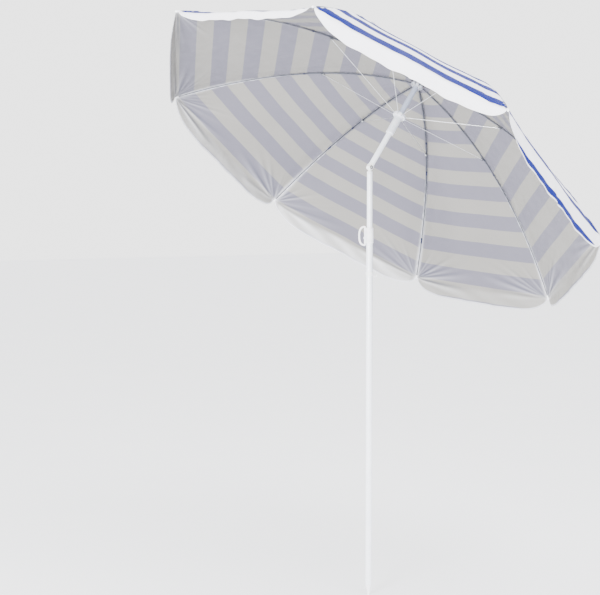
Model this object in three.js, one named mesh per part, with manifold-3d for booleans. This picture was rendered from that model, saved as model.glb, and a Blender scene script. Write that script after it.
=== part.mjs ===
// Tilting beach umbrella. Millimetres, +Z up, origin at the tip of the ground point.
// The pole stands upright, the head leans toward +X about a hinge along +Y.
import * as THREE from 'three';
import { mergeVertices } from 'three/addons/utils/BufferGeometryUtils.js';
import ManifoldModule from 'manifold-3d';

const wasm = await ManifoldModule();
wasm.setup();
const { Manifold, Mesh: ManifoldMesh } = wasm;

// ---- driving dimensions ----
const tiltAngle = 36.4;          // lean of the head, degrees
const pivotZ = 1451;             // height of the tilt hinge
const crownAbovePivot = 355;     // tilt hinge to rib hinges, along the upper pole
const rimRadius = 817;           // pole axis to rib tips
const rimDepth = 335;            // rib hinges down to rib tips
const ribBend = 0.9334;          // 0 is a straight rib, 1 a full parabola
const ribCount = 8;
const firstRib = 30.5;           // azimuth of rib 1, degrees
const ribHingeRadius = 18;
const ribRod = 1.5;              // rib wire radius
const ribJointAt = 0.42;         // stretcher joint, as a share of the rim radius
const ribJointDrop = 5.4;        // rib wire to stretcher pin
const runnerBelowCrown = 137;
const runnerHingeRadius = 20;
const stretcherRod = 1.25;
const lowerRadius = 11;          // lower pole
const upperRadius = 9.5;         // middle and upper pole
const wall = 1;
const footHeight = 35;
const collarZ = [1198, 1250];
const lowerTop = 1226;
const loopAzimuth = 143.2;
const hookAzimuth = -36.8;
const clothThickness = 0.6;
const clothAboveRib = 3.6;       // rib wire to the underside of the cloth
const hemBulge = 0.079;          // how far each gore's hem runs past the line between its tips
const hemFall = 0.66;            // share of that flap's direction that its own weight sets
const gap = 0.4;

// ---- materials ----
const paint = (color, roughness, metalness = 0) =>
  new THREE.MeshStandardMaterial({ color, roughness, metalness });
const whiteEnamel = paint('#eceff4', 0.35);
const whitePlastic = paint('#f1f1ef', 0.45);
const ivoryPlastic = paint('#e6dfc9', 0.5);
const greySteel = paint('#6e737b', 0.35, 0.9);
const brightSteel = paint('#c5c9cf', 0.3, 0.9);
const darkPlastic = paint('#3b3f47', 0.5);
const blueCloth = paint('#1f56c4', 0.8);

// ---- geometry helpers ----
const rad = THREE.MathUtils.degToRad;

// a closed, outward-facing body with shared corners and no empty triangles
function closed(source) {
  const bare = new THREE.BufferGeometry();
  bare.setAttribute('position', source.attributes.position.clone());
  if (source.index) bare.setIndex(source.index.clone());
  const merged = mergeVertices(bare, 1e-3);
  const at = merged.attributes.position;
  const kept = [];
  let volume = 0;
  const [a, b, c] = [new THREE.Vector3(), new THREE.Vector3(), new THREE.Vector3()];
  for (let k = 0; k < merged.index.count; k += 3) {
    const [i, j, l] = [0, 1, 2].map((n) => merged.index.getX(k + n));
    if (i === j || j === l || l === i) continue;
    kept.push(i, j, l);
    a.fromBufferAttribute(at, i);
    b.fromBufferAttribute(at, j);
    c.fromBufferAttribute(at, l);
    volume += a.dot(b.cross(c));
  }
  if (volume < 0) for (let k = 0; k < kept.length; k += 3) [kept[k], kept[k + 1]] = [kept[k + 1], kept[k]];
  merged.setIndex(kept);
  merged.computeVertexNormals();
  return merged;
}

const solid = (geometry) => {
  const body = closed(geometry);
  return new Manifold(new ManifoldMesh({
    numProp: 3,
    vertProperties: new Float32Array(body.attributes.position.array),
    triVerts: new Uint32Array(body.index.array),
  }));
};

const surface = (manifold) => {
  const mesh = manifold.getMesh();
  const geometry = new THREE.BufferGeometry();
  const corners = new Float32Array(mesh.numVert * 3);
  for (let v = 0; v < mesh.numVert; v++)
    for (let k = 0; k < 3; k++) corners[3 * v + k] = mesh.vertProperties[v * mesh.numProp + k];
  geometry.setAttribute('position', new THREE.BufferAttribute(corners, 3));
  geometry.setIndex(new THREE.BufferAttribute(new Uint32Array(mesh.triVerts), 1));
  return geometry;
};

const join = (...pieces) => surface(pieces.map(solid).reduce((one, next) => one.add(next)));
const cut = (body, ...tools) =>
  surface(tools.map(solid).reduce((one, next) => one.subtract(next), solid(body)));
const meet = (one, other) => surface(solid(one).intersect(solid(other)));

// a body turned about Z from its [radius, height] outline
function turned(outline, sides = 20) {
  const open = outline[0][0] > 0 || outline.at(-1)[0] > 0;
  const points = (open ? [...outline, outline[0]] : outline).map(([r, z]) => new THREE.Vector2(r, z));
  return closed(new THREE.LatheGeometry(points, sides).rotateX(Math.PI / 2));
}
const tube = (inner, outer, low, high, sides = 20) =>
  turned([[inner, low], [outer, low], [outer, high], [inner, high]], sides);
const drum = (radius, low, high, sides = 20) =>
  turned([[0, low], [radius, low], [radius, high], [0, high]], sides);
const block = (x, y, z) =>
  new THREE.BoxGeometry(x[1] - x[0], y[1] - y[0], z[1] - z[0])
    .translate((x[0] + x[1]) / 2, (y[0] + y[1]) / 2, (z[0] + z[1]) / 2);
const alongX = (geometry) => geometry.rotateY(Math.PI / 2);
const alongY = (geometry) => geometry.rotateX(-Math.PI / 2);

// a round wire through the given points
function wire(points, radius, sides = 6, steps = 12) {
  const ring = Array.from({ length: sides }, (_, k) =>
    new THREE.Vector2(radius * Math.cos(2 * Math.PI * k / sides), radius * Math.sin(2 * Math.PI * k / sides)));
  const path = points.length > 2 ? new THREE.CatmullRomCurve3(points) : new THREE.LineCurve3(...points);
  return closed(new THREE.ExtrudeGeometry(new THREE.Shape(ring), { steps, extrudePath: path }));
}
const hoop = (radius, thickness, sides = 5, around = 24) =>
  closed(new THREE.TorusGeometry(radius, thickness, sides, around));

// ---- the rib curve, in the plane of one rib: x outward, z up from the tilt hinge ----
const ribPoint = (t) => new THREE.Vector3(
  rimRadius * t, 0, crownAbovePivot - rimDepth * ((1 - ribBend) * t + ribBend * t * t));
const ribNormal = (t) =>
  new THREE.Vector3(rimDepth * (1 - ribBend + 2 * ribBend * t), 0, rimRadius).normalize();
const ribHinge = new THREE.Vector3(ribHingeRadius, 0, crownAbovePivot);
const stretcherPin = ribPoint(ribJointAt).addScaledVector(ribNormal(ribJointAt), -ribJointDrop);
const runnerHinge = new THREE.Vector3(runnerHingeRadius, 0, crownAbovePivot - runnerBelowCrown);
const azimuths = Array.from({ length: ribCount }, (_, k) => firstRib + 360 / ribCount * k);

const umbrella = new THREE.Group();
umbrella.name = 'beach_umbrella';
const head = new THREE.Group();
head.name = 'tilting_head';
head.position.z = pivotZ;
head.rotation.y = rad(tiltAngle);
umbrella.add(head);

function add(parent, name, geometry, material, azimuth = 0) {
  const mesh = new THREE.Mesh(closed(geometry), material);
  mesh.name = name;
  mesh.rotation.z = rad(azimuth);
  parent.add(mesh);
}

// ---- lower pole ----
add(umbrella, 'ground_point', turned([
  [0, 0], [3, 0], [4, 1.5], [4.2, 11], [10.2, 31], [lowerRadius, footHeight],
  [lowerRadius - wall - 0.3, footHeight], [lowerRadius - wall - 0.3, 62], [0, 62],
]), whitePlastic);
const lockHole = () => alongX(drum(2.6, 8, 16, 12)).rotateZ(rad(loopAzimuth)).translate(0, 0, 1215);
add(umbrella, 'lower_pole', cut(
  tube(lowerRadius - wall, lowerRadius, footHeight + gap, lowerTop), lockHole()), whiteEnamel);
add(umbrella, 'telescope_collar', cut(turned([
  [lowerRadius + 0.35, collarZ[0]], [12.4, collarZ[0]], [13, collarZ[0] + 1.5], [13, collarZ[1] - 3],
  [11.6, collarZ[1]], [upperRadius + 0.35, collarZ[1]], [upperRadius + 0.35, lowerTop + gap],
  [lowerRadius + 0.35, lowerTop + gap],
]), lockHole()), whitePlastic);

// the carrying hook clipped round the lower pole
const hookArc = Array.from({ length: 9 }, (_, k) => {
  const a = rad(150 + 25 * k);
  return new THREE.Vector3(18.6 + 6.2 * Math.cos(a), 0, 1092 + 7.5 * Math.sin(a));
});
add(umbrella, 'carry_hook', join(
  tube(lowerRadius + 0.35, 12.7, 1089, 1102), wire(hookArc, 1.2, 6, 8)), whitePlastic, hookAzimuth);

// ---- lock clip: a finger loop that draws the locking pin ----
const loopShape = (inset) => {
  const [near, far, half] = [13.4 + inset, 37 - inset, 33 - inset];
  const shape = new THREE.Shape();
  shape.moveTo(near, -half);
  shape.bezierCurveTo(far - 6, -half, far, -half * 0.7, far, 0);
  shape.bezierCurveTo(far, half * 0.7, far - 6, half, near, half);
  shape.closePath();
  return shape;
};
const loopOutline = loopShape(0);
loopOutline.holes.push(loopShape(4.2));
const loopBar = new THREE.ExtrudeGeometry(loopOutline, { depth: 7, bevelEnabled: false, curveSegments: 8 })
  .translate(0, 0, -3.5).rotateX(Math.PI / 2).translate(0, 0, 1222);
add(umbrella, 'lock_clip', cut(loopBar, alongX(drum(2.6, 12, 19, 12)).translate(0, 0, 1215)),
  whitePlastic, loopAzimuth);
add(umbrella, 'lock_pin', alongX(turned(
  [[0, 9.95], [2.2, 9.95], [2.2, 18], [4.2, 18], [4.2, 20.5], [0, 20.5]], 12)).translate(0, 0, 1215),
  brightSteel, loopAzimuth);

// ---- middle pole and tilt joint ----
add(umbrella, 'middle_pole', tube(upperRadius - wall, upperRadius, 960, pivotZ - 21), whiteEnamel);
const tongue = join(
  turned([[0, -56], [8.1, -56], [8.1, -21 + gap], [upperRadius, -21 + gap], [upperRadius, -17.5],
    [8, -13], [4.5, -11.2], [0, -11]]),
  block([-4.6, 4.6], [-3.5, 3.5], [-15, 0]),
  alongY(drum(7.6, -3.5, 3.5)));
add(umbrella, 'tilt_tongue', cut(tongue, alongY(drum(2.6, -6, 6, 16))).translate(0, 0, pivotZ), whitePlastic);

const forkOutline = join(
  alongY(drum(8.8, -12, 12)), block([-9.6, 9.6], [-12, 12], [0, 15]));
const forkBlank = join(
  meet(drum(upperRadius, -9, 14), forkOutline), drum(8.1, 13, 40));
add(head, 'tilt_fork', cut(forkBlank,
  block([-12, 12], [-3.9, 3.9], [-10, 9]), block([-12, 12], [8.1, 12], [-10, 9]),
  block([-12, 12], [-12, -8.1], [-10, 9]), alongY(drum(2.6, -12, 12, 16)),
  alongY(drum(3.5, 7.1, 12, 16)).rotateX(Math.PI)), whitePlastic);
add(head, 'tilt_pivot_pin', alongY(turned(
  [[0, -7], [2.2, -7], [2.2, 8.5], [4.4, 8.5], [3.8, 10], [0, 10.2]], 16)).rotateZ(Math.PI), brightSteel);
add(head, 'tilt_button_ring', alongY(tube(3.6, 5.8, -10.2, -8.5, 20)).rotateZ(Math.PI), darkPlastic);
add(head, 'tilt_button', alongY(turned(
  [[0, -8.9], [3.1, -8.9], [3.1, -11.2], [2.2, -12], [0, -12.3]], 16)).rotateZ(Math.PI), brightSteel);

// ---- upper pole and crown ----
const hingeSlots = (width, inner, outer, low, high) => azimuths.map((azimuth) =>
  block([inner, outer], [-width / 2, width / 2], [low, high]).rotateZ(rad(azimuth)));
add(head, 'upper_pole', tube(upperRadius - wall, upperRadius, 14 + gap, crownAbovePivot - 14), whiteEnamel);
add(head, 'crown_notch', cut(turned([
  [0, -34], [8.1, -34], [8.1, -14 + gap], [12.5, -14 + gap], [22, -8], [22, -0.5], [19.5, 1.6],
  [3.5, 1.6], [3.5, -12], [0, -12],
]).translate(0, 0, crownAbovePivot),
hoop(ribHingeRadius, 1.2).translate(0, 0, crownAbovePivot),
...hingeSlots(4.4, 14.2, 24, crownAbovePivot - 16, crownAbovePivot + 3)), ivoryPlastic);
add(head, 'notch_wire', hoop(ribHingeRadius, 0.8).translate(0, 0, crownAbovePivot), brightSteel);
add(head, 'crown_cap', turned([
  [0, -10], [3.1, -10], [3.1, 4.8], [25, 4.8], [24, 7.4], [9, 9.6], [5.4, 13], [6.8, 20], [4, 25], [0, 25.6],
]).translate(0, 0, crownAbovePivot), whitePlastic);

// ---- runner ----
add(head, 'runner', cut(turned([
  [upperRadius + gap, -75], [12.8, -75], [13.5, -73], [13.5, -10], [15.5, -5.4], [22.5, -4.6],
  [22.5, 5], [14, 6], [12.5, 9], [upperRadius + gap, 9],
]).translate(0, 0, runnerHinge.z),
hoop(runnerHingeRadius, 1.2).translate(0, 0, runnerHinge.z),
...hingeSlots(4.4, 16.2, 25, runnerHinge.z - 10, runnerHinge.z + 8)), ivoryPlastic);
add(head, 'runner_wire', hoop(runnerHingeRadius, 0.8).translate(0, 0, runnerHinge.z), brightSteel);

// ---- ribs, stretchers and tips, each drawn along +X and turned to its azimuth ----
const eye = (at, inner, outer, width) =>
  alongY(tube(inner, outer, -width / 2, width / 2, 8)).translate(at.x, at.y, at.z);
const ribPath = Array.from({ length: 10 }, (_, k) => ribPoint(0.0246 + (0.998 - 0.0246) * k / 9));
const ribBody = join(eye(ribHinge, 1.2, 2.3, 3.2), wire(ribPath, ribRod, 6, 9));

const towardRunner = runnerHinge.clone().sub(stretcherPin).normalize();
const stretcherBody = join(
  eye(stretcherPin, 1.35, 2.3, 3),
  wire([stretcherPin.clone().addScaledVector(towardRunner, 1.8),
    runnerHinge.clone().addScaledVector(towardRunner, -1.6)], stretcherRod, 6, 1));

// two cheeks over the rib wire carry the stretcher's pin
const jointFrame = (geometry) => {
  const [at, up] = [ribPoint(ribJointAt), ribNormal(ribJointAt)];
  return geometry.rotateY(Math.atan2(up.x, up.z)).translate(at.x, at.y, at.z);
};
const ribJointBody = jointFrame(join(
  block([-5, 6], [2.15, 3.4], [-8, 1.2]), block([-5, 6], [-3.4, -2.15], [-8, 1.2]),
  block([4, 6], [-3, 3], [-4.6, -3.3]), alongY(drum(1, -3, 3, 6)).translate(0, 0, -ribJointDrop)));

const tipUp = ribNormal(1);
const tipBody = turned([
  [0, 1], [2.25, 1], [2.25, -11], [3.1, -10.4], [3.1, 1], [3.9, 3.4], [2.4, 6.4], [0, 7],
], 8).rotateY(Math.PI / 2 + Math.atan2(tipUp.x, tipUp.z)).translate(
  ribPoint(1).x, 0, ribPoint(1).z);

// ---- one canopy piece: the cloth each side of a rib, out to the middle of both gores ----
const acrossStops = [-0.5, -0.34, -0.15, 0, 0.15, 0.34, 0.5];
const alongStops = [0.0215, 0.13, 0.25, 0.37, 0.49, 0.61, 0.73, 0.85, 0.943, 0.984];
const zAxis = new THREE.Vector3(0, 0, 1);
function clothPoint(t, across, lift, azimuth) {
  const w = Math.abs(across);
  const reach = t * (1 + hemBulge * (1 - (1 - 2 * w) ** 5) ** 0.5 * t ** 6);
  const up = ribNormal(Math.min(reach, 1));
  const near = ribPoint(Math.min(reach, 1)).addScaledVector(up, clothAboveRib);
  const spin = (vector) => vector.clone().applyAxisAngle(zAxis, Math.sign(across) * 2 * Math.PI / ribCount);
  const width = spin(near).distanceTo(near);
  const at = near.clone().lerp(spin(near), Math.min(w, 0.5 - 0.25 / Math.max(width, 1)));
  // past the line between two tips the cloth is a flap that hangs toward the ground
  const flap = Math.max(reach - 1, 0) * 990;
  const down = new THREE.Vector3(up.z, 0, -up.x);
  const [lean, side] = [rad(tiltAngle), rad(azimuth)];
  const ground = new THREE.Vector3(
    Math.sin(lean) * Math.cos(side), -Math.sin(lean) * Math.sin(side), -Math.cos(lean));
  const hang = hemFall * (1 - Math.exp(-flap / 6));
  const way = down.lerp(spin(down), w).normalize().lerp(ground, hang).normalize();
  const face = up.clone().lerp(spin(up), w);
  face.addScaledVector(way, -face.dot(way)).normalize();
  return at.addScaledVector(way, flap).addScaledVector(face, lift);
}
function clothPiece(azimuth) {
  const [columns, rows] = [acrossStops.length, alongStops.length];
  const corners = [];
  for (const lift of [0, clothThickness])
    for (const t of alongStops)
      for (const across of acrossStops) corners.push(...clothPoint(t, across, lift, azimuth).toArray());
  const index = [];
  const corner = (layer, i, j) => layer * rows * columns + i * columns + j;
  const quad = (a, b, c, d) => index.push(a, b, c, a, c, d);
  for (let i = 0; i + 1 < rows; i++)
    for (let j = 0; j + 1 < columns; j++) {
      quad(corner(1, i, j), corner(1, i + 1, j), corner(1, i + 1, j + 1), corner(1, i, j + 1));
      quad(corner(0, i, j), corner(0, i, j + 1), corner(0, i + 1, j + 1), corner(0, i + 1, j));
    }
  for (let j = 0; j + 1 < columns; j++) {
    quad(corner(0, 0, j + 1), corner(0, 0, j), corner(1, 0, j), corner(1, 0, j + 1));
    quad(corner(0, rows - 1, j), corner(0, rows - 1, j + 1),
      corner(1, rows - 1, j + 1), corner(1, rows - 1, j));
  }
  for (let i = 0; i + 1 < rows; i++) {
    quad(corner(0, i, 0), corner(0, i + 1, 0), corner(1, i + 1, 0), corner(1, i, 0));
    quad(corner(0, i + 1, columns - 1), corner(0, i, columns - 1), corner(1, i, columns - 1),
      corner(1, i + 1, columns - 1));
  }
  const geometry = new THREE.BufferGeometry();
  geometry.setAttribute('position', new THREE.Float32BufferAttribute(corners, 3));
  geometry.setIndex(index);
  return geometry;
}

azimuths.forEach((azimuth, k) => {
  add(head, `rib_${k + 1}`, ribBody, greySteel, azimuth);
  add(head, `rib_joint_${k + 1}`, ribJointBody, brightSteel, azimuth);
  add(head, `rib_tip_${k + 1}`, tipBody, whitePlastic, azimuth);
  add(head, `stretcher_${k + 1}`, stretcherBody, brightSteel, azimuth);
  add(head, `canopy_panel_${k + 1}`, clothPiece(azimuth), blueCloth, azimuth);
});

export default umbrella;
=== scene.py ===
import math

import bpy
import numpy as np
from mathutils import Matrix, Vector


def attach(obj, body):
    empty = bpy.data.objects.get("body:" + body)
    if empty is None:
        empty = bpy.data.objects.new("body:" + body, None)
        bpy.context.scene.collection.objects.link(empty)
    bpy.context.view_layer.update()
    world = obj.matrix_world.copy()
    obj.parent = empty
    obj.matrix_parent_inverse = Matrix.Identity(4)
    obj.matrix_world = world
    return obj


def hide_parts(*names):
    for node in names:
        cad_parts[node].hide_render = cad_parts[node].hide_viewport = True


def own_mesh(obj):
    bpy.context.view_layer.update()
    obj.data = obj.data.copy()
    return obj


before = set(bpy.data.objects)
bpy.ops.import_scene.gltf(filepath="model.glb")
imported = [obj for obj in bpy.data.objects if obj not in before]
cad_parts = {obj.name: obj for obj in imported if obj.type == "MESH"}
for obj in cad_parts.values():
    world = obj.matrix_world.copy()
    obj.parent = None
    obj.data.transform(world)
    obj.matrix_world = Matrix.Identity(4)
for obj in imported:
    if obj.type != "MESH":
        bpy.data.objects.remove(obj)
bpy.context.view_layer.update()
print("stage: frame loaded")

# the head is drawn about the tilt hinge, with its pole along Z, and then leaned
layout = dict(
    tilt=math.radians(36.4), pivot=1.451, crown=0.355, rimRadius=0.817, rimDepth=0.335, bend=0.9334,
    ribs=8, firstRib=math.radians(30.5), hinge=0.018, jointAt=0.42, jointDrop=0.0054,
    runnerDrop=0.137, runnerHinge=0.020,
)
ribAngles = layout["firstRib"] + np.arange(layout["ribs"]) * 2 * math.pi / layout["ribs"]
tiltTurn = np.array([
    [math.cos(layout["tilt"]), 0, math.sin(layout["tilt"])],
    [0, 1, 0],
    [-math.sin(layout["tilt"]), 0, math.cos(layout["tilt"])],
])


# ---- shader graph ----
class Value:
    # one output socket; arithmetic on it adds a Math or Vector Math node
    def __init__(self, graph, socket, vector=False):
        self.graph, self.socket, self.vector = graph, socket, vector

    def combine(self, operation, other=0.0):
        vector = self.vector or getattr(other, "vector", False) or isinstance(other, tuple)
        kind = "ShaderNodeVectorMath" if vector else "ShaderNodeMath"
        return self.graph.node(kind, {0: self, 1: other}, operation=operation, vector=vector)

    def __add__(self, other):
        return self.combine("ADD", other)

    def __sub__(self, other):
        return self.combine("SUBTRACT", other)

    def __mul__(self, other):
        return self.combine("MULTIPLY", other)

    def sine(self):
        return self.combine("SINE")

    def ramp(self, low, high, start=0.0, end=1.0):
        return self.graph.node("ShaderNodeMapRange", {
            "Value": self, "From Min": low, "From Max": high, "To Min": start, "To Max": end,
        }, interpolation_type="SMOOTHSTEP")


class Finish:
    # a material whose principled shader is fed by Value sockets
    def __init__(self, name, **settings):
        self.material = bpy.data.materials.new(name)
        self.material.use_nodes = True
        self.tree = self.material.node_tree
        self.tree.nodes.clear()
        output = self.tree.nodes.new("ShaderNodeOutputMaterial")
        self.shader = self.tree.nodes.new("ShaderNodeBsdfPrincipled")
        self.tree.links.new(self.shader.outputs[0], output.inputs[0])
        for key, value in settings.items():
            self.set(key, value)

    def set(self, key, value):
        words = {"color": "Base Color", "rough": "Roughness", "metal": "Metallic", "coat": "Coat Weight",
                 "coatRough": "Coat Roughness", "sheen": "Sheen Weight", "sheenRough": "Sheen Roughness",
                 "specular": "Specular IOR Level", "normal": "Normal", "subsurface": "Subsurface Weight",
                 "subsurfaceScale": "Subsurface Scale"}
        self.plug(self.shader.inputs[words[key]], value)
        return self

    def plug(self, socket, value):
        if isinstance(value, Value):
            self.tree.links.new(value.socket, socket)
        elif isinstance(value, tuple) and socket.type == "RGBA":
            socket.default_value = (*value, 1.0)[:4]
        elif isinstance(value, tuple):
            socket.default_value = value
        elif socket.type in ("VECTOR", "RGBA"):
            socket.default_value = (value,) * len(socket.default_value)
        else:
            socket.default_value = value

    def node(self, kind, inputs=None, out=0, vector=False, **options):
        made = self.tree.nodes.new(kind)
        for key, value in options.items():
            setattr(made, key, value)
        for key, value in (inputs or {}).items():
            self.plug(made.inputs[key], value)
        return Value(self, made.outputs[out], vector)

    def place(self):
        return self.node("ShaderNodeTexCoord", out="Object", vector=True)

    def fact(self, name):
        return self.node("ShaderNodeAttribute", attribute_name=name, out="Fac")

    def noise(self, where, scale, detail=3.0, rough=0.5):
        return self.node("ShaderNodeTexNoise", {
            "Vector": where, "Scale": scale, "Detail": detail, "Roughness": rough})

    def blendColors(self, one, other, factor):
        made = self.tree.nodes.new("ShaderNodeMix")
        made.data_type = "RGBA"
        for key, value in ((0, factor), (6, one), (7, other)):
            self.plug(made.inputs[key], value)
        return Value(self, made.outputs[2], True)

    def bump(self, height, distance, strength=1.0):
        return self.node("ShaderNodeBump", {
            "Height": height, "Distance": distance, "Strength": strength}, vector=True)


def srgb(*channels):
    # display values 0 to 255 turned into linear light
    part = np.array(channels) / 255
    curved = ((part + 0.055) / 1.055) ** 2.4
    return tuple(float(x) for x in np.where(part <= 0.04045, part / 12.92, curved))


# ---- surfaces ----
def headToWorld(points):
    return np.asarray(points) @ tiltTurn.T + np.array([0, 0, layout["pivot"]])


def asIs(points):
    return np.asarray(points)


def gridFaces(rows, columns, wrapColumns=False, wrapRows=False):
    # every cell of a rows by columns grid as one four-sided face
    i, j = np.meshgrid(np.arange(rows if wrapRows else rows - 1),
                       np.arange(columns if wrapColumns else columns - 1), indexing="ij")
    up, right = (i + 1) % rows, (j + 1) % columns
    corners = [i * columns + j, i * columns + right, up * columns + right, up * columns + j]
    return np.stack(corners, -1).reshape(-1, 4)


def endFans(rows, columns):
    # triangles that close the grid's first and last rows on the two points stored after it
    j = np.arange(columns)
    after, last, low = (j + 1) % columns, (rows - 1) * columns, np.full(columns, rows * columns)
    return np.vstack([np.stack([low, after, j], -1), np.stack([low + 1, last + j, last + after], -1)])


def signedVolume(points, faces):
    # sum over each face's fan of one sixth of the box product of its corners
    total = 0.0
    for k in range(1, faces.shape[1] - 1):
        a, b, c = points[faces[:, 0]], points[faces[:, k]], points[faces[:, k + 1]]
        total += np.einsum("ij,ij->i", a, np.cross(b, c)).sum()
    return total


def makePiece(name, shells, finishes, place=asIs, faceFinish=None, facts=None, normals=None, smooth=0.7):
    # shells are (points, quads, triangles); each is turned to face outward, then all become one object
    allPoints, allFaces, start = [], [], 0
    for points, quads, triangles in shells:
        points = np.asarray(points, float)
        volume = signedVolume(points, quads) + (signedVolume(points, triangles) if len(triangles) else 0)
        flip = -1 if volume < 0 else 1
        allFaces += (quads[:, ::flip] + start).tolist()
        if len(triangles):
            allFaces += (triangles[:, ::flip] + start).tolist()
        allPoints.append(points)
        start += len(points)
    mesh = bpy.data.meshes.new(name)
    mesh.from_pydata(place(np.vstack(allPoints)).tolist(), [], allFaces)
    for finish in finishes:
        mesh.materials.append(finish.material)
    if faceFinish is not None:
        mesh.polygons.foreach_set("material_index", np.asarray(faceFinish, np.int32))
    for key, values in (facts or {}).items():
        layer = mesh.attributes.new(key, "FLOAT", "POINT")
        layer.data.foreach_set("value", np.asarray(values, np.float32))
    mesh.polygons.foreach_set("use_smooth", np.ones(len(mesh.polygons), bool))
    mesh.update()
    if normals is not None:
        mesh.normals_split_custom_set_from_vertices(np.asarray(normals, np.float32).tolist())
    else:
        mesh.set_sharp_from_angle(angle=smooth)
    made = bpy.data.objects.new(name, mesh)
    bpy.context.scene.collection.objects.link(made)
    return made


noFaces = np.zeros((0, 3), int)


def soften(profile, radius, steps=4, loop=False):
    # each corner of a flat outline becomes a short curve that starts and ends one radius from it
    profile = np.asarray(profile, float)
    count, result = len(profile), []
    for k in range(count):
        if not loop and k in (0, count - 1):
            result.append(profile[k][None])
            continue
        before, here, after = profile[k - 1], profile[k], profile[(k + 1) % count]
        back, ahead = before - here, after - here
        reach = min(radius, 0.45 * np.linalg.norm(back), 0.45 * np.linalg.norm(ahead))
        one = here + back / np.linalg.norm(back) * reach
        two = here + ahead / np.linalg.norm(ahead) * reach
        s = np.linspace(0, 1, steps + 1)[:, None]
        result.append((1 - s) ** 2 * one + 2 * s * (1 - s) * here + s ** 2 * two)
    return np.vstack(result)


def revolve(profile, sides=64, radiusAt=None):
    # the outline swept round Z; one that starts and ends on the axis closes there, any other makes a ring.
    # radiusAt lists the angles, and where the radius is cut back to a floor
    profile = np.asarray(profile, float)
    poles = profile[0, 0] == 0 and profile[-1, 0] == 0
    body = profile[1:-1] if poles else profile
    angles = np.arange(sides) * 2 * math.pi / sides if radiusAt is None else radiusAt["angles"]
    radius = np.repeat(body[:, :1], len(angles), 1)
    if radiusAt is not None:
        floor = radiusAt["floor"]
        radius = np.where(radiusAt["cut"][None] & (radius > floor), floor, radius)
    height = np.repeat(body[:, 1:], len(angles), 1)
    points = np.stack([radius * np.cos(angles), radius * np.sin(angles), height], -1).reshape(-1, 3)
    rows, columns = len(body), len(angles)
    quads = gridFaces(rows, columns, True, not poles)
    if not poles:
        return points, quads, noFaces
    points = np.vstack([points, [[0, 0, profile[0, 1]], [0, 0, profile[-1, 1]]]])
    return points, quads, endFans(rows, columns)


def tubeWall(inner, outer, low, high, edge=0.0004, sides=64, steps=3):
    corners = [[inner, low], [outer, low], [outer, high], [inner, high]]
    return revolve(soften(corners, edge, steps, True), sides)


def carried(path, ring, side, closed=False):
    # a ring of offsets set square to a flat path whose plane's normal is side; open ends are closed
    path, side = np.asarray(path, float), np.asarray(side, float)
    ahead = np.roll(path, -1, 0) - np.roll(path, 1, 0)
    if not closed:
        ahead[0], ahead[-1] = path[1] - path[0], path[-1] - path[-2]
    ahead /= np.linalg.norm(ahead, axis=1)[:, None]
    across = np.cross(ahead, side)
    ring = np.broadcast_to(ring, (len(path), *np.shape(ring)[-2:]))
    points = path[:, None] + ring[..., :1] * side + ring[..., 1:] * across[:, None]
    rows, columns = points.shape[:2]
    quads = gridFaces(rows, columns, True, closed)
    points = points.reshape(-1, 3)
    if closed:
        return points, quads, noFaces
    return np.vstack([points, path[:1], path[-1:]]), quads, endFans(rows, columns)


def circle(radius, sides=14):
    angles = np.arange(sides) * 2 * math.pi / sides
    return np.stack([radius * np.cos(angles), radius * np.sin(angles)], -1)


def roundBar(half, halfOther, corner):
    # a rectangle with rounded corners, as a ring
    flat = [[-half, -halfOther], [half, -halfOther], [half, halfOther], [-half, halfOther]]
    return soften(flat, corner, 4, True)


def rod(path, radius, side, sides=14, ends=5):
    # a round wire whose end radii fall away as a quarter circle
    path = np.asarray(path, float)
    s = np.linspace(0, math.pi / 2, ends)
    first, last = path[1] - path[0], path[-1] - path[-2]
    first, last = first / np.linalg.norm(first), last / np.linalg.norm(last)
    head = path[0] + first * (radius * (1 - np.cos(s)))[:, None]
    tail = path[-1] - last * (radius * (1 - np.cos(s[::-1])))[:, None]
    scale = np.concatenate([np.sin(s), np.ones(len(path) - 2), np.sin(s[::-1])])
    rings = circle(radius, sides)[None] * np.maximum(scale, 0.02)[:, None, None]
    return carried(np.vstack([head, path[1:-1], tail]), rings, side)


def hoop(radius, thickness, sides=12, around=96):
    # a circle of the thickness carried round a circle of the radius
    angles = np.arange(around) * 2 * math.pi / around
    path = np.stack([radius * np.cos(angles), radius * np.sin(angles), 0 * angles], -1)
    return carried(path, circle(thickness, sides), [0, 0, 1], True)


def plate(outline, low, high, edge):
    # an outline in X and Z given thickness along Y, its edges rounded by stepping the outline in
    outline = np.asarray(outline, float)
    inward = np.roll(outline, -1, 0) - np.roll(outline, 1, 0)
    inward = np.stack([-inward[:, 1], inward[:, 0]], -1)
    inward /= np.linalg.norm(inward, axis=1)[:, None]
    following = np.roll(outline, -1, 0)
    inward *= np.sign(np.sum(outline[:, 0] * following[:, 1] - following[:, 0] * outline[:, 1]))
    s = np.linspace(0, math.pi / 2, 4)
    insets = np.concatenate([edge * (1 - np.sin(s)), edge * (1 - np.sin(s[::-1]))])
    levels = np.concatenate([low + edge * (1 - np.cos(s)), high - edge * (1 - np.cos(s[::-1]))])
    flat = outline[None] + inward[None] * insets[:, None, None]
    points = np.stack([flat[..., 0], np.repeat(levels[:, None], len(outline), 1), flat[..., 1]], -1)
    rows, columns = points.shape[:2]
    x, z = outline.mean(0)
    points = np.vstack([points.reshape(-1, 3), [[x, low, z], [x, high, z]]])
    return points, gridFaces(rows, columns, True), endFans(rows, columns)


def shifted(shell, turn=None, move=(0, 0, 0)):
    points = shell[0] if turn is None else shell[0] @ np.asarray(turn, float).T
    return points + np.asarray(move, float), shell[1], shell[2]


zToX = [[0, 0, 1], [0, 1, 0], [-1, 0, 0]]
zToY = [[1, 0, 0], [0, 0, 1], [0, -1, 0]]


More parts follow.
